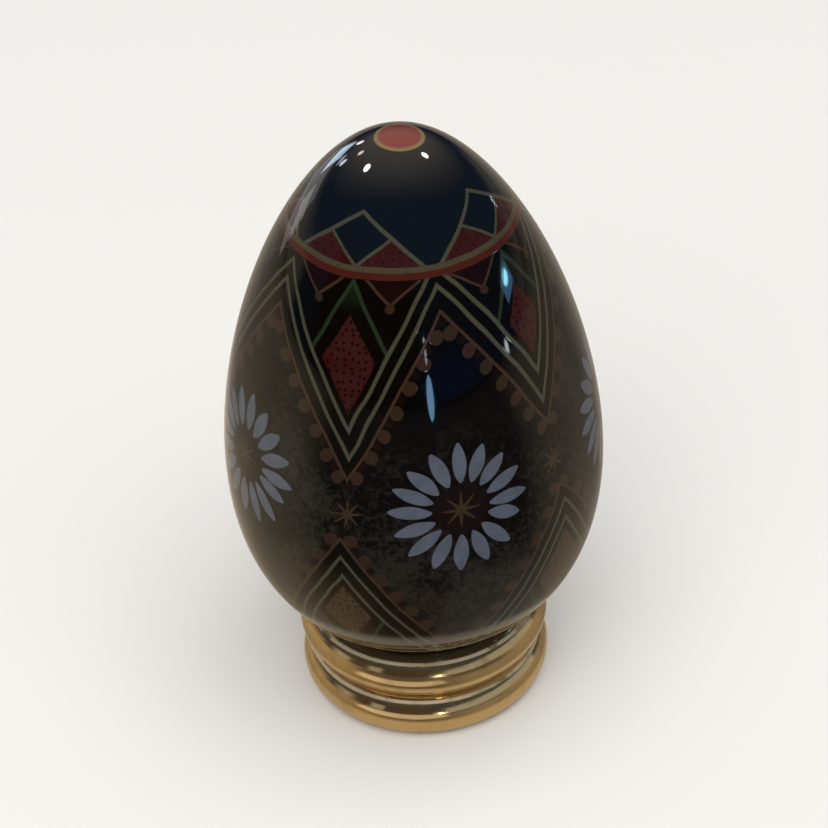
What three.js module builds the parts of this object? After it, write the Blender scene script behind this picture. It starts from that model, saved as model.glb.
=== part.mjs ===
// A decorated glass egg standing in a polished brass ring.
//
// Sizes are in millimetres and +Z is up. The origin is the middle of the ring's underside,
// and -Y is the front. The egg is one solid of glass with its blunt end down. It rests by
// its own weight on a cone turned inside the ring's upper lip and can be lifted out. The
// ring is one turned piece, open from top to bottom, with two rounded beads on its outside.

import * as THREE from 'three';

// Egg
const eggLength = 64;
const eggBreadth = 42.3;
const eggTaper = 0.254; // how much the egg narrows towards its pointed top
const eggFullness = 0.089; // how much both ends fill out
const eggPoint = 0.062; // how much the top end draws in to a point

// Ring
const ringDiameter = 28.8; // over the beads
const ringWall = 1.6; // at the groove between the beads
const beadCount = 2;
const beadHeight = 5.8;
const beadBulge = 2.55; // how far a bead stands out past the groove beside it
const lipWidth = 0.35; // flat top of the rim, outside the seat
const seatGap = 0.1; // clearance between the seat and the egg

// Smoothness of the solids
const turnSteps = 60; // flat sides around the axis
const eggSteps = 34; // bands from pole to pole
const beadSteps = 12; // flats across one bead

const halfTurn = Math.PI;

// Half the egg's width before it is brought to its true breadth, at a polar angle counted
// from the top pole.
function rawEggRadius(angle) {
  const c = Math.cos(angle);
  return Math.sin(angle) * (1 - eggTaper * c + eggFullness * c ** 2 - eggPoint * c ** 3);
}

// The factor that makes the widest place of the egg measure its true breadth.
function eggWidthFactor() {
  const samples = 2000;
  let widest = 0;
  for (let i = 0; i <= samples; i += 1) {
    widest = Math.max(widest, rawEggRadius((halfTurn * i) / samples));
  }
  return eggBreadth / 2 / widest;
}

const widthFactor = eggWidthFactor();

// Distance from the axis to the glass, and height above the egg's middle.
function eggPointAt(angle) {
  return new THREE.Vector2(
    widthFactor * rawEggRadius(angle),
    (eggLength / 2) * Math.cos(angle),
  );
}

// The polar angle, on the blunt lower end, where the egg has a given radius.
function lowerAngleAtRadius(radius) {
  let wide = 0.6 * halfTurn;
  let narrow = halfTurn;
  for (let i = 0; i < 60; i += 1) {
    const middle = (wide + narrow) / 2;
    if (eggPointAt(middle).x > radius) {
      wide = middle;
    } else {
      narrow = middle;
    }
  }
  return (wide + narrow) / 2;
}

// How steeply the glass rises outwards there: height gained for each unit of radius.
function eggSlopeAt(angle) {
  const step = 1e-4;
  const inner = eggPointAt(angle + step);
  const outer = eggPointAt(angle - step);
  return (outer.y - inner.y) / (outer.x - inner.x);
}

// Turns a profile of (radius, height) points about the Z axis.
function turned(profile) {
  const geometry = new THREE.LatheGeometry(profile, turnSteps);
  geometry.rotateX(Math.PI / 2);
  return geometry;
}

function mesh(name, geometry, colour, roughness, metalness) {
  const material = new THREE.MeshStandardMaterial({ color: colour, roughness, metalness });
  const made = new THREE.Mesh(geometry, material);
  made.name = name;
  return made;
}

// The ring's outside is a stack of equal beads, each half of an ellipse in section. Its
// inside is a plain bore with the conical seat above it.
const ringHeight = beadCount * beadHeight;
const grooveRadius = ringDiameter / 2 - beadBulge;
const boreRadius = grooveRadius - ringWall;
const lipRadius = grooveRadius - lipWidth;

const seatRadius = (boreRadius + lipRadius) / 2;
const seatAngle = lowerAngleAtRadius(seatRadius);
const seatSlope = eggSlopeAt(seatAngle);
const seatHeight = ringHeight - seatSlope * (lipRadius - seatRadius);

function beadPoints(index) {
  const middle = (index + 0.5) * beadHeight;
  const points = [];
  for (let i = 0; i <= beadSteps; i += 1) {
    const angle = halfTurn * (i / beadSteps - 0.5);
    points.push(new THREE.Vector2(
      grooveRadius + beadBulge * Math.cos(angle),
      middle + (beadHeight / 2) * Math.sin(angle),
    ));
  }
  return points;
}

function ringProfile() {
  const points = [new THREE.Vector2(boreRadius, 0)];
  for (let bead = 0; bead < beadCount; bead += 1) {
    // The groove between two beads is one point, shared by both.
    points.push(...beadPoints(bead).slice(bead === 0 ? 0 : 1));
  }
  points.push(new THREE.Vector2(lipRadius, ringHeight));
  points.push(new THREE.Vector2(boreRadius, ringHeight - seatSlope * (lipRadius - boreRadius)));
  points.push(new THREE.Vector2(boreRadius, 0));
  return points;
}

function eggProfile() {
  const points = [];
  for (let i = 0; i <= eggSteps; i += 1) {
    points.push(eggPointAt(halfTurn * (1 - i / eggSteps)));
  }
  points[0].x = 0;
  points[eggSteps].x = 0;
  return points;
}

// The egg sits where its underside comes parallel to the seat, one clearance above it.
const gapAlongAxis = seatGap * Math.hypot(1, seatSlope);
const eggMiddleHeight = seatHeight - eggPointAt(seatAngle).y + gapAlongAxis;

const glassEgg = new THREE.Group();
glassEgg.name = 'glass egg on its ring';

const ring = mesh('ring_stand', turned(ringProfile()), 0xb08d4c, 0.18, 1);
glassEgg.add(ring);

const egg = mesh('egg', turned(eggProfile()), 0x14161b, 0.08, 0);
egg.position.z = eggMiddleHeight;
glassEgg.add(egg);

export default glassEgg;
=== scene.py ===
"""A printed glass egg, blunt end down, standing in a turned brass ring.

The egg and the ring are both turned shapes, so each is a profile that is extruded point by
point and then spun about the Z axis. The print on the egg is wired from shader nodes. It is
laid out on the glass in millimetres: "across" is measured round the egg from a meridian and
"down" is the length of arc from the top pole, which the mesh carries as an attribute.
"""

import math

import bpy
import numpy as np
from mathutils import Matrix, Vector


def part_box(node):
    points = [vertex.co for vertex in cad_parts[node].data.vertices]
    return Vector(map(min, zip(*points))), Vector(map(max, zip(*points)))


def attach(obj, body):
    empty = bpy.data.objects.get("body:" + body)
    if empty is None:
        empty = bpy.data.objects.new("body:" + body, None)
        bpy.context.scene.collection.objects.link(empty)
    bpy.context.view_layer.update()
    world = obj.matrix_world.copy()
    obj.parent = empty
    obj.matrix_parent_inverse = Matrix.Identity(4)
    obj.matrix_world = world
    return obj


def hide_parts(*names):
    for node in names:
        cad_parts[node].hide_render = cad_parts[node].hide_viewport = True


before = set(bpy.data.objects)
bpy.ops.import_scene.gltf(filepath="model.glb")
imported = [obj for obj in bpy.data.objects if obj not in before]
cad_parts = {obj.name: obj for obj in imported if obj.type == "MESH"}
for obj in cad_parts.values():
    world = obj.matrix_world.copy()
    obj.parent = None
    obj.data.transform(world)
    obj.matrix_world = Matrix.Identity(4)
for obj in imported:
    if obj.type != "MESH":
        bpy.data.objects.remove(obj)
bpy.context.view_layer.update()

MM = 0.001

# The egg's shape, the same shares as in the solids.
EGG_TAPER = 0.254
EGG_FULLNESS = 0.089
EGG_POINT = 0.062
EGG_ROWS = 150
EGG_TURNS = 240

# The ring's section.
BEADS = 2
BEAD_BULGE = 2.55 * MM
RING_WALL = 1.6 * MM
LIP_WIDTH = 0.35 * MM
BEAD_ROWS = 26
RING_TURNS = 240

egg_low, egg_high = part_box("egg")
ring_low, ring_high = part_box("ring_stand")
EGG_LENGTH = egg_high.z - egg_low.z
EGG_BREADTH = egg_high.x - egg_low.x
EGG_MIDDLE = (egg_high.z + egg_low.z) / 2
RING_RADIUS = ring_high.x
RING_HEIGHT = ring_high.z - ring_low.z

# The layout of the print, in millimetres down the arc from the top pole and across a meridian.
REPEATS = 5
FLOWER_MERIDIAN = 12.7  # degrees round from the front, at the daisy's height
DRIFT = -0.06  # degrees that the print slips round for each millimetre down
FLOWER_DOWN = 42.2
UPPER_TIP = 31.8  # the tip of a tooth that hangs from the circle
LOWER_PEAK = 50.5  # the peak of a tooth that stands on the ring
CIRCLE_DOWN = 16.7  # the lower edge of the circle
ROOF_DOWN = 15.35  # the foot of the roofs above it
BAND_FOOT = 70.5  # the lower edge of the dark band
NECK_DOWN = 42.0  # the stars between the teeth
NECK_STAR = {"Radius": 1.9, "Width": 0.45}
HEART_STAR = {"Radius": 2.2, "Width": 0.5}  # at the heart of a daisy
CAP_FOOT = 8.0  # the dot on the top is drawn only above this
DOT_X = 0.37  # it is a little off the pole
DOT_Y = -0.14
DOT_RADIUS = 2.3

# Zigzags, each by the place of its apex and how far it spreads to a side in a millimetre down.
# The lower ones are counted upwards.
UPPER_ZIGZAGS = {"outer": (18.0, 0.71), "inner": (15.9, 0.725), "border": (20.7, 0.735)}
LOWER_ZIGZAGS = {"outer": (67.6, 0.67), "inner": (70.0, 0.675), "border": (65.5, 0.658)}
UPPER_ROW_END = 21.9  # where a row of balls along a border ends
LOWER_ROW_END = 24.9
CHEVRON_APEX = 17.0
CHEVRON_SPREAD = 0.55
LOZENGE_APEX = 20.5
LOZENGE_SPREAD = 0.62
LOZENGE_MARGIN = 0.8  # from the green lines to the lozenge
TOOTH_SHADE = 0.35  # how strongly the chevron's colour shows under it
ROOF_APEX = 9.8
ROOF_SPREAD = 1.18
GABLE_TIP = 15.4
GABLE_SPREAD = 1.0
TRIANGLE_SIDE = 3.8  # from the middle of a tooth to either small triangle
TRIANGLE_TIP = 19.2
TRIANGLE_SPREAD = 1.05
TRIANGLE_BALL = 0.48
ROOF_SPOT = 0.11

# Widths of the printed lines, in millimetres.
UPPER_LINE = 0.4
LOWER_LINE = 0.36
BORDER_LINE = 0.32
CHEVRON_LINE = 0.4
ROOF_LINE = 0.37
GABLE_LINE = 0.32
TRIANGLE_LINE = 0.28
RED_CIRCLE = (16.3, 0.75)  # the middle of the line, and its width
YELLOW_CIRCLE = (15.65, 0.6)
DOT_RING_LINE = (2.45, 0.42)

# The print was laid by hand, so it is uneven.
TILT = 1.7  # millimetres that the zigzags dip on the left and rise on the right
SKEW_MERIDIAN = 8.0  # degrees, where the teeth hang straight
SKEW_TOP = 7.1  # degrees that the teeth slip round, at the roofs
SKEW_TIP = -4.9  # and at the tips
SKEW_FROM = 11.0  # how far down that is, in millimetres
SKEW_TO = 34.0
SKEW_GONE = (42.0, 47.0)  # the slip fades out between these
ROW_SLIP = 2.6  # degrees that the daisies to either side slip round
ROW_LIFT = 1.1  # millimetres that they rise

EDGE = 0.07  # softness of every printed edge, mm

# Colours of the print and the metal, in linear light.
GLASS = (0.003, 0.0047, 0.0075, 1)
BAND = (0.0013, 0.0011, 0.0008, 1)
LINE_GREEN = (0.043, 0.044, 0.030, 1)
LINE_OLIVE = (0.045, 0.043, 0.025, 1)
TEAL = (0.012, 0.021, 0.011, 1)
ORANGE = (0.033, 0.018, 0.012, 1)
BALL_OLIVE = (0.021, 0.0135, 0.0068, 1)
BALL_ROSE = (0.024, 0.0115, 0.0078, 1)
BALL_SHADE = (0.0055, 0.0022, 0.0014, 1)
RED = (0.028, 0.0065, 0.0065, 1)
RED_DEEP = (0.025, 0.0035, 0.0035, 1)
RED_LOW = (0.036, 0.021, 0.0125, 1)
SPOT = (0.006, 0.0016, 0.0014, 1)
CIRCLE_RED = (0.048, 0.0085, 0.005, 1)
CIRCLE_YELLOW = (0.047, 0.039, 0.022, 1)
DOT_RED = (0.155, 0.027, 0.023, 1)
DOT_RING = (0.160, 0.110, 0.058, 1)
PETAL = (0.073, 0.085, 0.118, 1)
PETAL_DIM = (0.060, 0.072, 0.090, 1)
CORE = (0.0045, 0.0022, 0.0026, 1)
STAR = (0.031, 0.018, 0.010, 1)
GROUND_DARK = (0.0008, 0.0007, 0.001, 1)
GROUND_LIGHT = (0.0145, 0.0127, 0.0102, 1)
BRASS = (0.63, 0.46, 0.225, 1)
# The pale line high on each bead is a painted highlight.
BRASS_PAINTED_HIGHLIGHT = (0.68, 0.56, 0.38, 1)
TARNISH = (0.13, 0.065, 0.026, 1)

# Colours of the floor as the camera sees it, and as glass and brass mirror it; the mirrored ones
# are painted light and shade, with a pool of light by the ring and shade in front.
FLOOR = (0.8, 0.795, 0.785, 1)
FLOOR_PAINTED_LIGHT_POOL = (0.68, 0.60, 0.46, 1)
FLOOR_BACK_LEFT = (0.74, 0.64, 0.52, 1)
FLOOR_BACK_RIGHT = (0.42, 0.37, 0.31, 1)
FLOOR_BACK_FAR = (0.38, 0.33, 0.27, 1)
FLOOR_FRONT_LEFT = (0.30, 0.21, 0.11, 1)
FLOOR_FRONT = (0.11, 0.075, 0.05, 1)
FLOOR_FRONT_RIGHT = (0.27, 0.24, 0.20, 1)
FLOOR_FRONT_FAR = (0.06, 0.05, 0.04, 1)
FLOOR_LEFT = (0.42, 0.35, 0.24, 1)
FLOOR_RIGHT = (0.33, 0.275, 0.21, 1)

# Colours round it: what the camera sees, what lights the rest, and the room that is mirrored.
BACKDROP = (0.8, 0.8, 0.79, 1)
AMBIENT = (0.42, 0.42, 0.42, 1)
CEILING = (0.84, 0.68, 0.52, 1)
WALL = (0.025, 0.04, 0.068, 1)
# Patches of the wall: colour, bearing and half-width in degrees, and how high it goes.
WALL_PATCHES = (
    ((0.03, 0.013, 0.007, 1), -32, 40, 0.5),
    ((0.03, 0.06, 0.17, 1), 30, 14, 0.12),
    ((0.28, 0.25, 0.20, 1), 122, 28, 0.06),
    ((0.34, 0.27, 0.20, 1), -122, 26, 0.2),
)

# Colours of the lights.
SOFT = (1.0, 0.97, 0.93)
WARM = (1.0, 0.94, 0.86)
COOL = (0.62, 0.8, 1.0)
PALE = (0.85, 0.92, 1.0)
SKY = (0.3, 0.62, 1.0)
TURQUOISE = (0.35, 0.86, 1.0)
DEEP_BLUE = (0.2, 0.55, 1.0)
CARD = (0.9, 0.95, 1.0)


# Turned shapes


def raw_egg_radius(angle):
    c = math.cos(angle)
    return math.sin(angle) * (1 - EGG_TAPER * c + EGG_FULLNESS * c**2 - EGG_POINT * c**3)


def egg_width_factor():
    """The factor that makes the widest place of the egg measure its true breadth."""
    samples = 4000
    widest = max(raw_egg_radius(math.pi * i / samples) for i in range(samples + 1))
    return EGG_BREADTH / 2 / widest


def egg_point(angle, factor):
    """Radius and height above the egg's middle, at an angle counted from the top pole."""
    return factor * raw_egg_radius(angle), EGG_LENGTH / 2 * math.cos(angle)


def lower_angle_at(radius, factor):
    """The angle from the top pole where the egg's blunt end has a given radius."""
    wide = 0.6 * math.pi
    narrow = math.pi
    for _ in range(50):
        middle = (wide + narrow) / 2
        if egg_point(middle, factor)[0] > radius:
            wide = middle
        else:
            narrow = middle
    return (wide + narrow) / 2


def egg_slope_at(radius, factor):
    """How steeply the glass rises outwards there: height gained for each unit of radius."""
    angle = lower_angle_at(radius, factor)
    step = 1e-4
    inner = egg_point(angle + step, factor)
    outer = egg_point(angle - step, factor)
    return (outer[1] - inner[1]) / (outer[0] - inner[0])


def deselect_all():
    bpy.ops.object.select_all(action="DESELECT")


def turned_piece(name, profile, steps, closed):
    """Extrudes a point along a profile of (radius, height) and spins it about the Z axis."""
    deselect_all()
    first = Vector((profile[0][0], 0, profile[0][1]))
    bpy.ops.mesh.primitive_plane_add(size=MM, location=first)
    piece = bpy.context.object
    piece.name = name
    piece.data.name = name
    bpy.ops.object.transform_apply(location=True, rotation=True, scale=True)
    bpy.ops.object.mode_set(mode="EDIT")
    bpy.ops.mesh.select_all(action="SELECT")
    bpy.ops.mesh.merge(type="CENTER")
    last = first
    for radius, height in profile[1:]:
        place = Vector((radius, 0, height))
        bpy.ops.mesh.extrude_vertices_move(TRANSFORM_OT_translate={"value": place - last})
        last = place
    if closed:
        bpy.ops.mesh.select_all(action="SELECT")
        bpy.ops.mesh.remove_doubles(threshold=1e-7)
    bpy.ops.mesh.select_all(action="SELECT")
    bpy.ops.mesh.spin(steps=steps, angle=2 * math.pi, center=(0, 0, 0), axis=(0, 0, 1))
    bpy.ops.mesh.select_all(action="SELECT")
    bpy.ops.mesh.remove_doubles(threshold=1e-6)
    bpy.ops.mesh.normals_make_consistent(inside=False)
    bpy.ops.object.mode_set(mode="OBJECT")
    return piece


def make_egg():
    factor = egg_width_factor()
    profile = []
    for i in range(EGG_ROWS + 1):
        radius, height = egg_point(math.pi * i / EGG_ROWS, factor)
        profile.append((max(radius, 0), EGG_MIDDLE + height))
    profile[0] = (0, EGG_MIDDLE + EGG_LENGTH / 2)
    profile[-1] = (0, EGG_MIDDLE - EGG_LENGTH / 2)
    egg = turned_piece("glass_egg", profile, EGG_TURNS, closed=False)
    bpy.ops.object.shade_smooth()
    add_arc_attribute(egg, factor)
    return egg


def add_arc_attribute(egg, factor):
    """Stores at each vertex the length of arc from the top pole, in millimetres."""
    samples = 6001
    angles = np.linspace(0, math.pi, samples)
    points = np.array([egg_point(a, factor) for a in angles])
    steps = np.linalg.norm(np.diff(points, axis=0), axis=1)
    arcs = np.concatenate([[0], np.cumsum(steps)]) / MM
    heights = np.array([v.co.z for v in egg.data.vertices]) - EGG_MIDDLE
    turned = np.arccos(np.clip(heights / (EGG_LENGTH / 2), -1, 1))
    attribute = egg.data.attributes.new("arc", "FLOAT", "POINT")
    attribute.data.foreach_set("value", np.interp(turned, angles, arcs).astype(np.float32))


def make_ring():
    groove = RING_RADIUS - BEAD_BULGE
    bore = groove - RING_WALL
    lip = groove - LIP_WIDTH
    bead_height = RING_HEIGHT / BEADS
    seat_slope = egg_slope_at((bore + lip) / 2, egg_width_factor())
    profile = [(bore, 0)]
    for bead in range(BEADS):
        middle = (bead + 0.5) * bead_height
        for i in range(BEAD_ROWS + 1):
            if bead and i == 0:
                continue
            angle = math.pi * (i / BEAD_ROWS - 0.5)
            radius = groove + BEAD_BULGE * math.cos(angle)
            profile.append((radius, middle + bead_height / 2 * math.sin(angle)))
    profile.append((lip, RING_HEIGHT))
    profile.append((bore, RING_HEIGHT - seat_slope * (lip - bore)))
    profile.append((bore, 0))
    ring = turned_piece("brass_ring", profile, RING_TURNS, closed=True)
    bpy.ops.object.shade_smooth_by_angle(angle=math.radians(35))
    return ring


# Node helpers


def new_node(tree, kind, **settings):
    node = tree.nodes.new(kind)
    count = len(tree.nodes)
    node.location = (200 * (count // 12), -160 * (count % 12))
    for name, value in settings.items():
        setattr(node, name, value)
    return node


def feed(tree, value, socket):
    """Joins a socket to another, or gives it a plain value."""
    if isinstance(value, bpy.types.NodeSocket):
        tree.links.new(value, socket)
    else:
        socket.default_value = value


def calc(tree, operation, *values, clamp=False):
    node = new_node(tree, "ShaderNodeMath", operation=operation, use_clamp=clamp)
    for socket, value in zip(node.inputs, values):
        feed(tree, value, socket)
    return node.outputs[0]


def joined(tree, x, y):
    node = new_node(tree, "ShaderNodeCombineXYZ")
    for socket, value in zip(node.inputs, (x, y)):
        feed(tree, value, socket)
    return node.outputs[0]


def far_from_zero(tree, x, y):
    """The distance of the point (x, y) from (0, 0)."""
    node = new_node(tree, "ShaderNodeVectorMath", operation="LENGTH")
    feed(tree, joined(tree, x, y), node.inputs[0])
    return node.outputs["Value"]


def ramped(tree, value, low, high, smooth=True):
    """0 at low, 1 at high, and a smooth step between them; high may be the smaller."""
    kind = "SMOOTHSTEP" if smooth else "LINEAR"
    node = new_node(tree, "ShaderNodeMapRange", interpolation_type=kind)
    feed(tree, value, node.inputs["Value"])
    feed(tree, low, node.inputs["From Min"])
    feed(tree, high, node.inputs["From Max"])
    return node.outputs["Result"]


def painted(tree, below, colour, mask):
    """Lays one colour over another where the mask is 1."""
    node = new_node(tree, "ShaderNodeMix", data_type="RGBA")
    feed(tree, mask, node.inputs["Factor"])
    feed(tree, below, node.inputs[6])
    feed(tree, colour, node.inputs[7])
    return node.outputs[2]


def noise(tree, position, scale, detail=2.0, roughness=0.5):
    node = new_node(tree, "ShaderNodeTexNoise")
    feed(tree, position, node.inputs["Vector"])
    node.inputs["Scale"].default_value = scale
    node.inputs["Detail"].default_value = detail
    node.inputs["Roughness"].default_value = roughness
    return node


def new_group(name, inputs, outputs):
    """A node group with float or vector inputs; returns it with its two end nodes."""
    tree = bpy.data.node_groups.new(name, "ShaderNodeTree")
    for label, kind, value in inputs:
        socket = tree.interface.new_socket(label, in_out="INPUT", socket_type=kind)
        if value is not None:
            socket.default_value = value
    for label, kind in outputs:
        tree.interface.new_socket(label, in_out="OUTPUT", socket_type=kind)
    start = new_node(tree, "NodeGroupInput")
    end = new_node(tree, "NodeGroupOutput")
    return tree, start.outputs, end.inputs


def use_group(tree, group, **values):
    """Places a group, fed by the names of its inputs, and returns its outputs."""
    node = new_node(tree, "ShaderNodeGroup", node_tree=group)
    for name, value in values.items():
        feed(tree, value, node.inputs[name])
    return node.outputs


FLOAT = "NodeSocketFloat"
VECTOR = "NodeSocketVector"


# Groups that draw the print


def within(tree, distance, reach):
    """1 where a distance is less than the reach, with a printed edge."""
    low = calc(tree, "SUBTRACT", reach, EDGE)
    high = calc(tree, "ADD", reach, EDGE)
    return calc(tree, "SUBTRACT", 1.0, ramped(tree, distance, low, high))


def spoke(tree, across, down, count):
    """Which of a number of spokes a point is near, its turn from that spoke, and its distance."""
    angle = calc(tree, "ARCTAN2", across, down)
    half = calc(tree, "DIVIDE", math.pi, count)
    turn = calc(tree, "WRAP", angle, half, calc(tree, "MULTIPLY", half, -1.0))
    pitch = calc(tree, "MULTIPLY", half, 2.0)
    number = calc(tree, "ROUND", calc(tree, "DIVIDE", angle, pitch))
    return number, turn, far_from_zero(tree, across, down)


def drawn_line_group():
    """A line: 1 where the offset from its middle is under half its width."""
    inputs = [("Offset", FLOAT, 0.0), ("Width", FLOAT, 0.45)]
    tree, start, end = new_group("drawn line", inputs, [("Mask", FLOAT)])
    offset = calc(tree, "ABSOLUTE", start["Offset"])
    half = calc(tree, "MULTIPLY", start["Width"], 0.5)
    feed(tree, within(tree, offset, half), end["Mask"])
    return tree


def zigzag_group():
    """Distance from a zigzag line and length along it, both counted from its apex."""
    inputs = [
        ("Across", FLOAT, 0.0),
        ("Down", FLOAT, 0.0),
        ("Apex", FLOAT, 0.0),
        ("Spread", FLOAT, 0.7),
    ]
    tree, start, end = new_group("zigzag", inputs, [("Offset", FLOAT), ("Along", FLOAT)])
    across = calc(tree, "ABSOLUTE", start["Across"])
    down = calc(tree, "SUBTRACT", start["Down"], start["Apex"])
    squared = calc(tree, "MULTIPLY", start["Spread"], start["Spread"])
    length = calc(tree, "SQRT", calc(tree, "ADD", squared, 1.0))
    offset = calc(tree, "SUBTRACT", calc(tree, "MULTIPLY", down, start["Spread"]), across)
    feed(tree, calc(tree, "DIVIDE", offset, length), end["Offset"])
    along = calc(tree, "MULTIPLY_ADD", across, start["Spread"], down)
    feed(tree, calc(tree, "DIVIDE", along, length), end["Along"])
    return tree


def ball_row_group():
    """A row of balls along a line, with a dark spot between each two."""
    inputs = [
        ("Along", FLOAT, 0.0),
        ("Offset", FLOAT, 0.0),
        ("First", FLOAT, 2.4),
        ("Spacing", FLOAT, 3.0),
        ("Stand", FLOAT, 0.8),
        ("Radius", FLOAT, 0.8),
        ("Last", FLOAT, 22.0),
    ]
    tree, start, end = new_group("ball row", inputs, [("Mask", FLOAT), ("Shade", FLOAT)])
    half = calc(tree, "MULTIPLY", start["Spacing"], 0.5)
    minus_half = calc(tree, "MULTIPLY", start["Spacing"], -0.5)
    place = calc(tree, "SUBTRACT", start["Along"], start["First"])
    beside = calc(tree, "WRAP", place, half, minus_half)
    above = calc(tree, "SUBTRACT", start["Offset"], start["Stand"])
    ball = within(tree, far_from_zero(tree, beside, above), start["Radius"])
    started = ramped(tree, place, minus_half, calc(tree, "ADD", minus_half, 0.01))
    going = calc(tree, "LESS_THAN", start["Along"], start["Last"])
    ball = calc(tree, "MULTIPLY", calc(tree, "MULTIPLY", ball, started), going)
    feed(tree, ball, end["Mask"])
    between = calc(tree, "SUBTRACT", half, calc(tree, "ABSOLUTE", beside))
    low = calc(tree, "SUBTRACT", start["Offset"], 0.55)
    spot = within(tree, far_from_zero(tree, between, low), 0.5)
    feed(tree, spot, end["Shade"])
    return tree


def star_group():
    """A star of narrow rays that thin out towards their ends."""
    inputs = [
        ("Across", FLOAT, 0.0),
        ("Down", FLOAT, 0.0),
        ("Rays", FLOAT, 8.0),
        ("Radius", FLOAT, 2.0),
        ("Width", FLOAT, 0.5),
    ]
    tree, start, end = new_group("ray star", inputs, [("Mask", FLOAT)])
    _, turn, far = spoke(tree, start["Across"], start["Down"], start["Rays"])
    side = calc(tree, "ABSOLUTE", calc(tree, "MULTIPLY", calc(tree, "SINE", turn), far))
    share = calc(tree, "DIVIDE", far, start["Radius"])
    thin = calc(tree, "POWER", calc(tree, "SUBTRACT", 1.0, share, clamp=True), 0.6)
    half = calc(tree, "MULTIPLY", calc(tree, "MULTIPLY", start["Width"], 0.5), thin)
    reached = calc(tree, "LESS_THAN", share, 1.0)
    feed(tree, calc(tree, "MULTIPLY", within(tree, side, half), reached), end["Mask"])
    return tree


def petals_group():
    """A ring of pointed petals, each a little longer or shorter than the next."""
    inputs = [
        ("Across", FLOAT, 0.0),
        ("Down", FLOAT, 0.0),
        ("Petals", FLOAT, 16.0),
        ("Inner", FLOAT, 3.1),
        ("Outer", FLOAT, 7.55),
        ("Width", FLOAT, 1.6),
        ("Unevenness", FLOAT, 0.8),
    ]
    tree, start, end = new_group("petals", inputs, [("Mask", FLOAT)])
    number, turn, far = spoke(tree, start["Across"], start["Down"], start["Petals"])
    random = new_node(tree, "ShaderNodeTexWhiteNoise", noise_dimensions="1D")
    feed(tree, calc(tree, "ADD", number, 0.37), random.inputs["W"])
    uneven = calc(tree, "MULTIPLY", calc(tree, "SUBTRACT", random.outputs["Value"], 0.5),
                  start["Unevenness"])
    outer = calc(tree, "ADD", start["Outer"], uneven)
    turn = calc(tree, "MULTIPLY_ADD", uneven, 0.09, turn)
    side = calc(tree, "ABSOLUTE", calc(tree, "MULTIPLY", calc(tree, "SINE", turn), far))
    reach = calc(tree, "MULTIPLY", calc(tree, "COSINE", turn), far)
    length = calc(tree, "SUBTRACT", outer, start["Inner"])
    share = calc(tree, "DIVIDE", calc(tree, "SUBTRACT", reach, start["Inner"]), length, clamp=True)
    hump = calc(tree, "SINE", calc(tree, "MULTIPLY", share, math.pi))
    full = calc(tree, "POWER", hump, 0.68)
    half = calc(tree, "MULTIPLY", calc(tree, "MULTIPLY", start["Width"], 0.5), full)
    wide = calc(tree, "GREATER_THAN", half, EDGE)
    feed(tree, calc(tree, "MULTIPLY", within(tree, side, half), wide), end["Mask"])
    return tree


def spots_group():
    """Small round spots, loosely spaced."""
    inputs = [
        ("Across", FLOAT, 0.0),
        ("Down", FLOAT, 0.0),
        ("Spacing", FLOAT, 0.8),
        ("Radius", FLOAT, 0.17),
    ]
    tree, start, end = new_group("spots", inputs, [("Mask", FLOAT)])
    cells = new_node(tree, "ShaderNodeTexVoronoi", voronoi_dimensions="2D")
    feed(tree, joined(tree, start["Across"], start["Down"]), cells.inputs["Vector"])
    feed(tree, calc(tree, "DIVIDE", 1.0, start["Spacing"]), cells.inputs["Scale"])
    cells.inputs["Randomness"].default_value = 0.6
    far = calc(tree, "MULTIPLY", cells.outputs["Distance"], start["Spacing"])
    feed(tree, within(tree, far, start["Radius"]), end["Mask"])
    return tree


def tooth_group(zigzags, line, spots):
    """What fills a tooth: a spotted lozenge under a chevron, with down as in the upper teeth."""
    inputs = [("Across", FLOAT, 0.0), ("Down", FLOAT, 0.0)]
    outputs = [("Lozenge", FLOAT), ("Spots", FLOAT), ("Chevron", FLOAT), ("Shade", FLOAT)]
    tree, start, end = new_group("tooth filling", inputs, outputs)
    place = {"Across": start["Across"], "Down": start["Down"]}
    chevron = use_group(tree, zigzags, **place, Apex=CHEVRON_APEX, Spread=CHEVRON_SPREAD)
    drawn = use_group(tree, line, Offset=chevron["Offset"], Width=CHEVRON_LINE)
    feed(tree, drawn["Mask"], end["Chevron"])
    top = use_group(tree, zigzags, **place, Apex=LOZENGE_APEX, Spread=LOZENGE_SPREAD)
    lozenge = ramped(tree, top["Offset"], -EDGE, EDGE)
    feed(tree, lozenge, end["Lozenge"])
    spot = use_group(tree, spots, **place)
    feed(tree, calc(tree, "MULTIPLY", spot["Mask"], lozenge), end["Spots"])
    under = ramped(tree, start["Down"], LOZENGE_APEX, LOZENGE_APEX - 2.5)
    covered = ramped(tree, chevron["Offset"], 0.0, 0.3)
    feed(tree, calc(tree, "MULTIPLY", under, covered), end["Shade"])
    return tree


def smears_group():
    """Fine smears and specks that make a polished surface less even."""
    inputs = [("Position", VECTOR, None), ("Low", FLOAT, 0.05), ("High", FLOAT, 0.1)]
    tree, start, end = new_group("polish smears", inputs, [("Roughness", FLOAT)])
    broad = noise(tree, start["Position"], 0.16, 3.0, 0.55).outputs["Fac"]
    fine = noise(tree, start["Position"], 1.7, 2.0, 0.6).outputs["Fac"]
    both = calc(tree, "MULTIPLY_ADD", broad, 0.7, calc(tree, "MULTIPLY", fine, 0.3))
    share = ramped(tree, both, 0.35, 0.68)
    span = calc(tree, "SUBTRACT", start["High"], start["Low"])
    feed(tree, calc(tree, "MULTIPLY_ADD", span, share, start["Low"]), end["Roughness"])
    return tree


# The print, layer by layer


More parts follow.
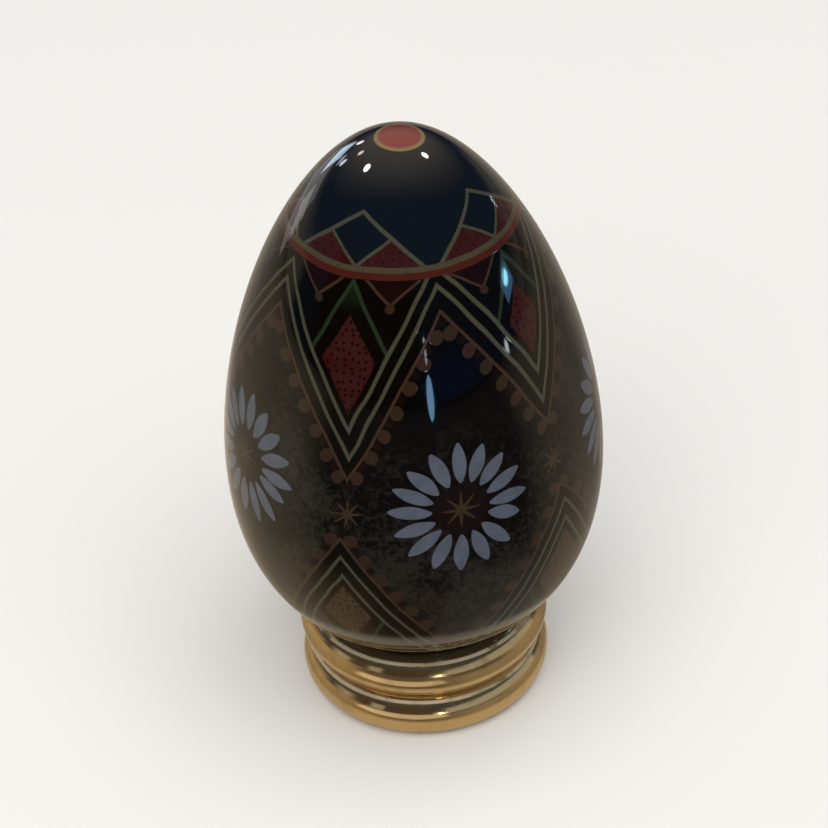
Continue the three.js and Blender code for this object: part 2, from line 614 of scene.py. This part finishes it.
class Print:
    """The colour of the glass, as one layer of ink after another is laid on it."""

    def __init__(self, tree):
        self.tree = tree
        self.line = drawn_line_group()
        self.zigzags = zigzag_group()
        self.balls = ball_row_group()
        self.stars = star_group()
        self.petals = petals_group()
        self.spots = spots_group()
        self.teeth = tooth_group(self.zigzags, self.line, self.spots)
        self.colour = GLASS
        self.relief = 0.0
        self.find_places()
        self.find_inks()

    def calc(self, operation, *values):
        return calc(self.tree, operation, *values)

    def noise(self, scale, detail=2.0, roughness=0.5):
        return noise(self.tree, self.place, scale, detail, roughness).outputs["Fac"]

    def between(self, value, low, high):
        """1 where a value lies between two others."""
        above = ramped(self.tree, value, low - EDGE, low + EDGE)
        below = ramped(self.tree, value, high + EDGE, high - EDGE)
        return self.calc("MULTIPLY", above, below)

    def inside(self, offset):
        return ramped(self.tree, offset, -EDGE, EDGE)

    def outside(self, offset):
        return ramped(self.tree, offset, EDGE, -EDGE)

    def disc(self, distance, radius):
        return ramped(self.tree, distance, radius + EDGE, radius - EDGE)

    def both(self, *masks):
        mask = masks[0]
        for other in masks[1:]:
            mask = self.calc("MULTIPLY", mask, other)
        return mask

    def either(self, *masks):
        mask = masks[0]
        for other in masks[1:]:
            mask = self.calc("MAXIMUM", mask, other)
        return mask

    def zigzag(self, across, down, apex, spread):
        place = {"Across": across, "Down": down}
        return use_group(self.tree, self.zigzags, **place, Apex=apex, Spread=spread)

    def stroke(self, offset, width):
        return use_group(self.tree, self.line, Offset=offset, Width=width)["Mask"]

    def lay(self, ink, mask, raised=False):
        self.colour = painted(self.tree, self.colour, ink, mask)
        if raised:
            self.relief = self.calc("MAXIMUM", self.relief, mask)

    def find_places(self):
        """Works out where each point of the glass lies in the print."""
        tree = self.tree
        self.place = object_millimetres(tree)
        split = new_node(tree, "ShaderNodeSeparateXYZ")
        feed(tree, self.place, split.inputs[0])
        self.x = split.outputs["X"]
        self.y = split.outputs["Y"]
        arc = new_node(tree, "ShaderNodeAttribute", attribute_name="arc").outputs["Fac"]
        wobble = new_node(tree, "ShaderNodeSeparateColor")
        feed(tree, noise(tree, self.place, 0.2, 1.0).outputs["Color"], wobble.inputs[0])
        slip = self.calc("MULTIPLY", self.calc("SUBTRACT", wobble.outputs[0], 0.5), 0.5)
        sag = self.calc("MULTIPLY", self.calc("SUBTRACT", wobble.outputs[1], 0.5), 0.4)
        down = self.calc("ADD", arc, sag)
        turn = self.calc("ARCTAN2", self.x, self.calc("MULTIPLY", self.y, -1.0))
        radius = far_from_zero(tree, self.x, self.y)

        # The meridian that the flowers are on, and the slips of the hand away from it.
        start = math.radians(FLOWER_MERIDIAN - DRIFT * FLOWER_DOWN)
        meridian = self.calc("MULTIPLY_ADD", down, math.radians(DRIFT), start)
        lowered = ramped(tree, down, SKEW_FROM, SKEW_TO, smooth=False)
        change = math.radians(SKEW_TIP - SKEW_TOP)
        skew = self.calc("MULTIPLY_ADD", lowered, change, math.radians(SKEW_TOP))
        skew = self.calc("MULTIPLY", skew, ramped(tree, down, SKEW_GONE[1], SKEW_GONE[0]))
        sway = self.calc("SINE", self.calc("SUBTRACT", turn, math.radians(SKEW_MERIDIAN)))
        hung = self.calc("SUBTRACT", turn, self.calc("MULTIPLY", skew, sway))
        beside = self.calc("SINE", self.calc("SUBTRACT", turn, math.radians(FLOWER_MERIDIAN)))
        self.beside = self.calc("MULTIPLY", beside, beside)
        rowed = self.calc("MULTIPLY_ADD", self.beside, math.radians(ROW_SLIP), turn)

        half = math.pi / REPEATS
        self.down = down
        self.up = self.calc("MULTIPLY", down, -1.0)
        self.tilted = self.calc("MULTIPLY_ADD", self.calc("SINE", turn), TILT, down)
        lifted = self.calc("MULTIPLY_ADD", self.beside, ROW_LIFT, down)
        self.daisy_y = self.calc("SUBTRACT", lifted, FLOWER_DOWN)

        def across(angle, shift):
            """Millimetres across from the nearest of the repeated meridians."""
            away = self.calc("SUBTRACT", self.calc("SUBTRACT", angle, meridian), shift)
            away = self.calc("WRAP", away, half, -half)
            return self.calc("MULTIPLY_ADD", away, radius, slip)

        self.flower_x = across(hung, 0.0)
        self.tooth_x = across(hung, half)
        self.daisy_x = across(rowed, 0.0)

    def find_inks(self):
        """Inks that change over the egg, and how much of them is worn away."""
        tree = self.tree
        worn = ramped(tree, self.noise(2.3, 3.0, 0.65), 0.56, 0.72)
        self.left = self.calc("MULTIPLY_ADD", worn, -0.5, 1.0)
        drift = self.noise(0.11, 1.0)
        patch = self.noise(0.38, 2.0, 0.6)
        self.green = painted(tree, LINE_GREEN, LINE_OLIVE, ramped(tree, drift, 0.44, 0.6))
        self.ball = painted(tree, BALL_OLIVE, BALL_ROSE, ramped(tree, patch, 0.4, 0.6))
        self.red = painted(tree, RED, RED_DEEP, ramped(tree, patch, 0.42, 0.66))
        self.petal = painted(tree, PETAL, PETAL_DIM, ramped(tree, self.noise(0.6, 2.0), 0.35, 0.7))

    def lay_ground(self):
        """The dark band, and the mottled field that the daisies are on, with painted shade above
        the daisies.
        """
        tree = self.tree
        # Along each zigzag run two green lines, outer and inner, and the orange border.
        minus = self.calc("MULTIPLY", self.tilted, -1.0)
        self.upper = {}
        for name, (apex, spread) in UPPER_ZIGZAGS.items():
            self.upper[name] = self.zigzag(self.flower_x, self.tilted, apex, spread)
        self.lower = {}
        for name, (apex, spread) in LOWER_ZIGZAGS.items():
            self.lower[name] = self.zigzag(self.flower_x, minus, -apex, spread)
        upper = self.inside(self.upper["border"]["Offset"])
        lower = self.inside(self.lower["border"]["Offset"])
        self.field = self.both(upper, lower)
        grain = self.noise(1.5, 5.0, 0.75)
        clouds = self.noise(0.13, 3.0, 0.6)
        mottle = self.calc("MULTIPLY_ADD", grain, 0.55, self.calc("MULTIPLY", clouds, 0.45))
        # Painted shade: above the daisies at the front and the back the field is darker, down to a
        # ragged edge.
        ragged = self.calc("MULTIPLY_ADD", clouds, 12.0, self.down)
        painted_shade = ramped(tree, ragged, 46.0, 38.0)
        painted_shade = self.both(painted_shade, self.calc("SUBTRACT", 1.0, self.beside))
        light = self.both(ramped(tree, mottle, 0.46, 0.59), self.calc("SUBTRACT", 1.0, painted_shade))
        ground = painted(tree, GROUND_DARK, GROUND_LIGHT, light)
        self.lay(BAND, self.between(self.down, CIRCLE_DOWN, BAND_FOOT))
        self.lay(ground, self.field)

    def lay_borders(self):
        """The orange lines round the field, with their balls."""
        upper = self.upper["border"]
        lower = self.lower["border"]
        for border, last in ((upper, UPPER_ROW_END), (lower, LOWER_ROW_END)):
            place = {"Along": border["Along"], "Offset": border["Offset"]}
            row = use_group(self.tree, self.balls, **place, Last=last)
            self.lay(BALL_SHADE, self.both(row["Shade"], self.field))
            self.lay(self.ball, self.both(row["Mask"], self.field), raised=True)
        lines = self.either(
            self.stroke(upper["Offset"], BORDER_LINE),
            self.stroke(lower["Offset"], BORDER_LINE),
        )
        self.lay(ORANGE, self.both(lines, self.left), raised=True)

    def lay_teeth(self):
        """The teeth between the fields, the lower ones the other way up."""
        mirrored = self.calc("SUBTRACT", UPPER_TIP + LOWER_PEAK, self.down)
        rows = (
            (self.down, self.upper["inner"], self.red),
            (mirrored, self.lower["inner"], RED_LOW),
        )
        for down, zigzag, red in rows:
            filling = use_group(self.tree, self.teeth, Across=self.tooth_x, Down=down)
            tooth = self.outside(zigzag["Offset"])
            margin = self.calc("MULTIPLY_ADD", zigzag["Offset"], -1.0, -LOZENGE_MARGIN)
            inner = self.inside(margin)
            self.lay(TEAL, self.both(filling["Shade"], tooth, TOOTH_SHADE))
            self.lay(red, self.both(filling["Lozenge"], inner))
            self.lay(SPOT, self.both(filling["Spots"], inner))
            self.lay(TEAL, self.both(filling["Chevron"], tooth, self.left), raised=True)

    def lay_hanging_triangles(self):
        """Two small red triangles in each upper tooth, with a ball on the tip of each."""
        side_x = self.calc("SUBTRACT", self.calc("ABSOLUTE", self.tooth_x), TRIANGLE_SIDE)
        triangle = self.zigzag(side_x, self.up, -TRIANGLE_TIP, TRIANGLE_SPREAD)
        tooth = self.outside(self.upper["inner"]["Offset"])
        place = self.both(ramped(self.tree, self.down, CIRCLE_DOWN, CIRCLE_DOWN + 0.1), tooth)
        self.lay(SPOT, self.both(self.inside(triangle["Offset"]), place))
        self.lay(ORANGE, self.both(self.stroke(triangle["Offset"], TRIANGLE_LINE), place))
        tip_y = self.calc("SUBTRACT", self.down, TRIANGLE_TIP + 0.3)
        ball = self.disc(far_from_zero(self.tree, side_x, tip_y), TRIANGLE_BALL)
        self.lay(self.ball, ball, raised=True)

    def lay_green_lines(self):
        """The pairs of green lines along the zigzags."""
        upper = self.either(
            self.stroke(self.upper["outer"]["Offset"], UPPER_LINE),
            self.stroke(self.upper["inner"]["Offset"], UPPER_LINE),
        )
        lower = self.either(
            self.stroke(self.lower["outer"]["Offset"], LOWER_LINE),
            self.stroke(self.lower["inner"]["Offset"], LOWER_LINE),
        )
        below_circle = ramped(self.tree, self.down, CIRCLE_DOWN - 0.1, CIRCLE_DOWN)
        green = self.either(self.both(upper, below_circle), lower)
        self.lay(self.green, self.both(green, self.left), raised=True)

    def lay_roofs(self):
        """A low roof over each tooth above the circle, with two red gables in it."""
        above = self.disc(self.down, ROOF_DOWN)
        roof = self.zigzag(self.tooth_x, self.down, ROOF_APEX, ROOF_SPREAD)
        gables = self.zigzag(self.tooth_x, self.up, -GABLE_TIP, GABLE_SPREAD)
        covered = self.inside(roof["Offset"])
        red = self.both(covered, self.outside(gables["Offset"]), above)
        place = {"Across": self.tooth_x, "Down": self.down}
        spots = use_group(self.tree, self.spots, **place, Radius=ROOF_SPOT)
        self.lay(self.red, red)
        self.lay(SPOT, self.both(red, spots["Mask"]))
        lines = self.either(
            self.stroke(roof["Offset"], ROOF_LINE),
            self.both(self.stroke(gables["Offset"], GABLE_LINE), covered),
        )
        self.lay(self.green, self.both(lines, above, self.left), raised=True)

    def round_line(self, distance, middle, width):
        return self.stroke(self.calc("SUBTRACT", distance, middle), width)

    def lay_circle_and_dot(self):
        """The circle below the roofs, and the dot with its ring on the top."""
        red = self.round_line(self.down, *RED_CIRCLE)
        yellow = self.round_line(self.down, *YELLOW_CIRCLE)
        self.lay(CIRCLE_RED, red, raised=True)
        self.lay(CIRCLE_YELLOW, self.both(yellow, self.left), raised=True)
        top = ramped(self.tree, self.down, CAP_FOOT, CAP_FOOT - 0.1)
        dot_x = self.calc("SUBTRACT", self.x, DOT_X)
        dot_y = self.calc("SUBTRACT", self.y, DOT_Y)
        far = far_from_zero(self.tree, dot_x, dot_y)
        dot = self.disc(far, DOT_RADIUS)
        ring = self.round_line(far, *DOT_RING_LINE)
        self.lay(DOT_RED, self.both(dot, top))
        self.lay(DOT_RING, self.both(ring, top), raised=True)

    def lay_daisies(self):
        """The daisies with a star at the heart, and a star between each two teeth."""
        tree = self.tree
        place = {"Across": self.daisy_x, "Down": self.daisy_y}
        daisy = use_group(tree, self.petals, **place)["Mask"]
        middle = far_from_zero(tree, self.daisy_x, self.daisy_y)
        heart = use_group(tree, self.stars, **place, **HEART_STAR)["Mask"]
        neck_y = self.calc("SUBTRACT", self.tilted, NECK_DOWN)
        place = {"Across": self.tooth_x, "Down": neck_y}
        neck = use_group(tree, self.stars, **place, **NECK_STAR)["Mask"]
        self.lay(CORE, ramped(tree, middle, 3.8, 2.6))
        self.lay(STAR, self.both(self.either(heart, neck), self.left))
        self.lay(self.petal, daisy, raised=True)


# Materials


def new_material(name):
    material = bpy.data.materials.new(name)
    material.use_nodes = True
    tree = material.node_tree
    tree.nodes.clear()
    shader = new_node(tree, "ShaderNodeBsdfPrincipled")
    output = new_node(tree, "ShaderNodeOutputMaterial")
    tree.links.new(shader.outputs["BSDF"], output.inputs["Surface"])
    return material, tree, shader


def object_millimetres(tree):
    """The place on the piece, in millimetres."""
    coordinates = new_node(tree, "ShaderNodeTexCoord")
    scaled = new_node(tree, "ShaderNodeVectorMath", operation="SCALE")
    feed(tree, coordinates.outputs["Object"], scaled.inputs[0])
    scaled.inputs["Scale"].default_value = 1 / MM
    return scaled.outputs[0]


def raise_surface(tree, shader, height, strength):
    """A very slight relief in the shading, at most 0.02 mm high."""
    bump = new_node(tree, "ShaderNodeBump")
    bump.inputs["Strength"].default_value = strength
    bump.inputs["Distance"].default_value = 0.02 * MM
    feed(tree, height, bump.inputs["Height"])
    feed(tree, bump.outputs["Normal"], shader.inputs["Normal"])


def egg_material(smears):
    """Dark glass with the print on it, under one glossy skin."""
    material, tree, shader = new_material("printed_glass")
    printing = Print(tree)
    printing.lay_ground()
    printing.lay_borders()
    printing.lay_teeth()
    printing.lay_hanging_triangles()
    printing.lay_green_lines()
    printing.lay_roofs()
    printing.lay_circle_and_dot()
    printing.lay_daisies()
    feed(tree, printing.colour, shader.inputs["Base Color"])
    polish = use_group(tree, smears, Position=printing.place, Low=0.03, High=0.07)["Roughness"]
    feed(tree, polish, shader.inputs["Roughness"])
    shader.inputs["IOR"].default_value = 1.5
    raise_surface(tree, shader, printing.relief, 0.25)
    return material


def ring_material(smears):
    """Polished brass, dull and brown in its grooves, with a painted highlight: a pale line high on
    each bead.
    """
    material, tree, shader = new_material("polished_brass")
    place = object_millimetres(tree)
    split = new_node(tree, "ShaderNodeSeparateXYZ")
    feed(tree, place, split.inputs[0])
    radius = far_from_zero(tree, split.outputs["X"], split.outputs["Y"])
    groove = (RING_RADIUS - BEAD_BULGE) / MM
    deep = ramped(tree, radius, groove + 0.7, groove + 0.05)
    patches = noise(tree, place, 0.35, 4.0, 0.6).outputs["Fac"]
    worn = calc(tree, "MULTIPLY", ramped(tree, patches, 0.5, 0.75), 0.3)
    dull = calc(tree, "MAXIMUM", calc(tree, "MULTIPLY", deep, 0.75), worn)
    pitch = RING_HEIGHT / BEADS / MM
    height = calc(tree, "MODULO", split.outputs["Z"], pitch)
    # Painted highlight: a pale, less metallic and rougher line high on each bead's shoulder.
    highlight_height = 0.9 * pitch
    from_highlight = calc(tree, "ABSOLUTE", calc(tree, "SUBTRACT", height, highlight_height))
    outside = ramped(tree, radius, groove + 0.6, groove + 0.9)
    line = calc(tree, "MULTIPLY", ramped(tree, from_highlight, 0.2, 0.06), outside)
    line = calc(tree, "MULTIPLY", line, ramped(tree, patches, 0.28, 0.56))
    brass = painted(tree, BRASS, TARNISH, dull)
    feed(tree, painted(tree, brass, BRASS_PAINTED_HIGHLIGHT, line), shader.inputs["Base Color"])
    feed(tree, calc(tree, "MULTIPLY_ADD", line, -0.46, 0.94), shader.inputs["Metallic"])
    polish = use_group(tree, smears, Position=place, Low=0.09, High=0.19)["Roughness"]
    matt = calc(tree, "MULTIPLY", dull, 0.2)
    matt = calc(tree, "MAXIMUM", matt, calc(tree, "MULTIPLY", line, 0.25))
    feed(tree, calc(tree, "ADD", matt, polish), shader.inputs["Roughness"])
    turning = noise(tree, joined(tree, radius, split.outputs["Z"]), 9.0).outputs["Fac"]
    raise_surface(tree, shader, turning, 0.15)
    return material


def floor_material():
    """A pale floor. Glass and metal mirror it as dim, but for what is close or behind: painted
    light and shade, with a pool of light by the ring.
    """
    material, tree, shader = new_material("pale_floor")
    place = object_millimetres(tree)
    split = new_node(tree, "ShaderNodeSeparateXYZ")
    feed(tree, place, split.inputs[0])
    away = far_from_zero(tree, split.outputs["X"], split.outputs["Y"])
    behind = ramped(tree, calc(tree, "DIVIDE", split.outputs["Y"], away), 0.1, 1.0)
    side = calc(tree, "DIVIDE", split.outputs["X"], away)
    back = painted(tree, FLOOR_BACK_LEFT, FLOOR_BACK_RIGHT, ramped(tree, side, -0.5, 0.5))
    back = painted(tree, back, FLOOR_BACK_FAR, ramped(tree, away, 58.0, 100.0))
    front = painted(tree, FLOOR_FRONT_LEFT, FLOOR_FRONT, ramped(tree, side, -0.7, -0.3))
    front = painted(tree, front, FLOOR_FRONT_RIGHT, ramped(tree, side, 0.0, 0.6))
    front = painted(tree, front, FLOOR_FRONT_FAR, ramped(tree, away, 34.0, 60.0))
    front = painted(tree, front, FLOOR_LEFT, ramped(tree, side, -0.72, -0.98))
    front = painted(tree, front, FLOOR_RIGHT, ramped(tree, side, 0.82, 1.0))
    # Painted light and shade for glossy rays: light behind, shade in front, and a pool of light
    # close to the ring.
    mirrored = painted(tree, front, back, behind)
    mirrored = painted(tree, mirrored, FLOOR_PAINTED_LIGHT_POOL, ramped(tree, away, 21.0, 17.0))
    path = new_node(tree, "ShaderNodeLightPath")
    colour = painted(tree, FLOOR, mirrored, path.outputs["Is Glossy Ray"])
    feed(tree, colour, shader.inputs["Base Color"])
    shader.inputs["Roughness"].default_value = 0.9
    shader.inputs["Specular IOR Level"].default_value = 0.1
    return material


# The setting


def make_floor():
    deselect_all()
    bpy.ops.mesh.primitive_plane_add(size=6, location=(0, 0, 0))
    floor = bpy.context.object
    floor.name = "floor"
    floor.data.materials.append(floor_material())


def direction(azimuth, elevation):
    """A unit vector; azimuth 0 is the front, towards -Y, and 90 is +X."""
    a = math.radians(azimuth)
    e = math.radians(elevation)
    return Vector((math.sin(a) * math.cos(e), -math.cos(a) * math.cos(e), math.sin(e)))


RECTANGLE = "RECTANGLE"
ELLIPSE = "ELLIPSE"


def area_light(
    name, azimuth, elevation, distance, width, height, radiance, colour, shape=RECTANGLE
):
    """A light that faces the egg's middle. Angles are in degrees and lengths in metres."""
    data = bpy.data.lights.new(name, "AREA")
    data.shape = shape
    data.size = width
    data.size_y = height
    area = width * height
    if shape == ELLIPSE:
        area *= math.pi / 4
    data.energy = radiance * math.pi * area
    data.color = colour
    light = bpy.data.objects.new(name, data)
    bpy.context.scene.collection.objects.link(light)
    towards = direction(azimuth, elevation)
    light.location = Vector((0, 0, EGG_MIDDLE)) + towards * distance
    light.rotation_euler = towards.to_track_quat("Z", "Y").to_euler()
    light.visible_camera = False
    return light


def make_soft_lights():
    """They light the floor and the colours, and the glass doesn't mirror them."""
    for light in (
        area_light("soft overhead", 20, 72, 1.3, 1.4, 1.4, 2.4, SOFT),
        area_light("soft front", -25, 40, 1.3, 1.0, 1.0, 1.9, SOFT),
    ):
        light.visible_glossy = False


def shine_only_on(light, piece):
    """Lets a light reach one piece alone."""
    receivers = bpy.data.collections.new(light.name + " receivers")
    receivers.objects.link(piece)
    light.light_linking.receiver_collection = receivers


def make_highlights(egg, ring):
    """Small lights that show only as glints, in the glass, in the brass or in both."""
    both = (
        area_light("lamp left", -109, 55.7, 1.0, 0.125, 0.12, 36, WARM, ELLIPSE),
        area_light("lamp right", 126, 53.5, 1.0, 0.115, 0.11, 36, WARM, ELLIPSE),
        area_light("far lamp low", -154, 20.7, 1.0, 0.07, 0.11, 10, WARM, ELLIPSE),
        area_light("far lamp high", -138.4, 37.4, 1.0, 0.08, 0.09, 10, WARM, ELLIPSE),
        area_light("far lamp side", -135.4, 23.2, 1.0, 0.07, 0.09, 9, PALE, ELLIPSE),
        area_light("window", -142, 4, 0.5, 0.30, 0.15, 0.6, PALE),
        area_light("window pane", -150, 10, 0.5, 0.11, 0.10, 4.2, COOL),
        area_light("window strip", -140, 20, 0.5, 0.05, 0.035, 3.5, COOL),
        area_light("window sill", -130, 4, 0.5, 0.12, 0.06, 1.0, WARM),
    )
    in_glass = (
        area_light("gap", 11.6, 2.0, 0.45, 0.032, 0.078, 7.5, SKY, ELLIPSE),
        area_light("gap high", 11.3, 11.2, 0.45, 0.010, 0.03, 6, PALE, ELLIPSE),
        area_light("gap top", 11.2, 14.8, 0.45, 0.012, 0.012, 6, PALE, ELLIPSE),
        area_light("side window", 87.2, 9.3, 0.45, 0.056, 0.02, 17, TURQUOISE, ELLIPSE),
        area_light("side glow", 87.0, 8.6, 0.45, 0.10, 0.04, 2.5, DEEP_BLUE),
        area_light("side lamp", 67.8, 1.7, 0.4, 0.018, 0.02, 9, PALE, ELLIPSE),
        area_light("back lamp", 122, 9.4, 0.45, 0.022, 0.02, 5.5, PALE, ELLIPSE),
    )
    in_brass = (
        area_light("shelf glow", -19, -57.5, 0.0466, 0.028, 0.008, 0.6, SOFT),
        area_light("spark", 9.0, -3.9, 0.45, 0.03, 0.03, 30, SOFT, ELLIPSE),
        area_light("card right", 60, 7, 0.4, 0.84, 0.2, 0.45, CARD),
        area_light("card left", -44, 6, 0.4, 0.08, 0.14, 0.42, PALE),
        area_light("card far left", -76, 5, 0.4, 0.12, 0.12, 0.45, WARM),
    )
    for light in both + in_glass + in_brass:
        light.visible_diffuse = False
    for light in in_glass:
        shine_only_on(light, egg)
    for light in in_brass:
        shine_only_on(light, ring)


def wall_patch(tree, bearing, height, middle, half_width, top):
    """1 on a patch of the room's wall, within some degrees of a bearing and below a height."""
    away = calc(tree, "WRAP", calc(tree, "SUBTRACT", bearing, middle), 180.0, -180.0)
    away = calc(tree, "ABSOLUTE", away)
    beside = ramped(tree, away, half_width + 6, half_width - 6)
    below = ramped(tree, height, top + 0.1, top - 0.1)
    return calc(tree, "MULTIPLY", beside, below)


def make_world():
    """Pale where the camera sees it, and a dim room where glass and brass mirror it."""
    world = bpy.data.worlds.new("studio")
    world.use_nodes = True
    bpy.context.scene.world = world
    tree = world.node_tree
    tree.nodes.clear()
    coordinates = new_node(tree, "ShaderNodeTexCoord")
    split = new_node(tree, "ShaderNodeSeparateXYZ")
    feed(tree, coordinates.outputs["Generated"], split.inputs[0])
    height = split.outputs["Z"]
    forward = calc(tree, "MULTIPLY", split.outputs["Y"], -1.0)
    turned = calc(tree, "ARCTAN2", split.outputs["X"], forward)
    bearing = calc(tree, "MULTIPLY", turned, math.degrees(1))
    room = WALL
    for colour, middle, half_width, top in WALL_PATCHES:
        patch = wall_patch(tree, bearing, height, middle, half_width, top)
        room = painted(tree, room, colour, patch)
    towards = new_node(tree, "ShaderNodeVectorMath", operation="DOT_PRODUCT")
    feed(tree, coordinates.outputs["Generated"], towards.inputs[0])
    towards.inputs[1].default_value = direction(180, 62)
    overhead = ramped(tree, towards.outputs["Value"], 0.5, 1.0)
    room = painted(tree, room, CEILING, overhead)
    path = new_node(tree, "ShaderNodeLightPath")
    lit = painted(tree, AMBIENT, room, path.outputs["Is Glossy Ray"])
    seen = painted(tree, lit, BACKDROP, path.outputs["Is Camera Ray"])
    background = new_node(tree, "ShaderNodeBackground")
    output = new_node(tree, "ShaderNodeOutputWorld")
    feed(tree, seen, background.inputs["Color"])
    tree.links.new(background.outputs[0], output.inputs[0])


def make_camera():
    """The photograph's view: 300 mm from the egg's middle, looking down at it."""
    elevation = 36.4
    roll = math.radians(-3.4)
    distance = 300 * MM
    aim_down = 3.47 * MM
    aim_right = 0.4 * MM
    data = bpy.data.cameras.new("camera")
    data.lens = 118.4
    data.sensor_width = 36
    data.clip_start = 0.01
    data.clip_end = 20
    camera = bpy.data.objects.new("camera", data)
    bpy.context.scene.collection.objects.link(camera)
    middle = Vector((0, 0, EGG_MIDDLE))
    back = direction(0, elevation)
    level = Vector((1, 0, 0))
    rise = back.cross(level)
    right = level * math.cos(roll) + rise * math.sin(roll)
    up = back.cross(right)
    place = middle + back * distance
    aim = middle - up * aim_down + right * aim_right
    back = (place - aim).normalized()
    right = up.cross(back).normalized()
    up = back.cross(right)
    camera.location = place
    camera.rotation_euler = Matrix((right, up, back)).transposed().to_euler()
    bpy.context.scene.camera = camera


def finish_piece(piece, node, material):
    piece.data.materials.clear()
    piece.data.materials.append(material)
    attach(piece, "root")
    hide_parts(node)


smears = smears_group()
egg = make_egg()
ring = make_ring()
finish_piece(egg, "egg", egg_material(smears))
finish_piece(ring, "ring_stand", ring_material(smears))
make_floor()
make_soft_lights()
make_highlights(egg, ring)
make_world()
make_camera()
bpy.context.scene.view_settings.view_transform = "Standard"
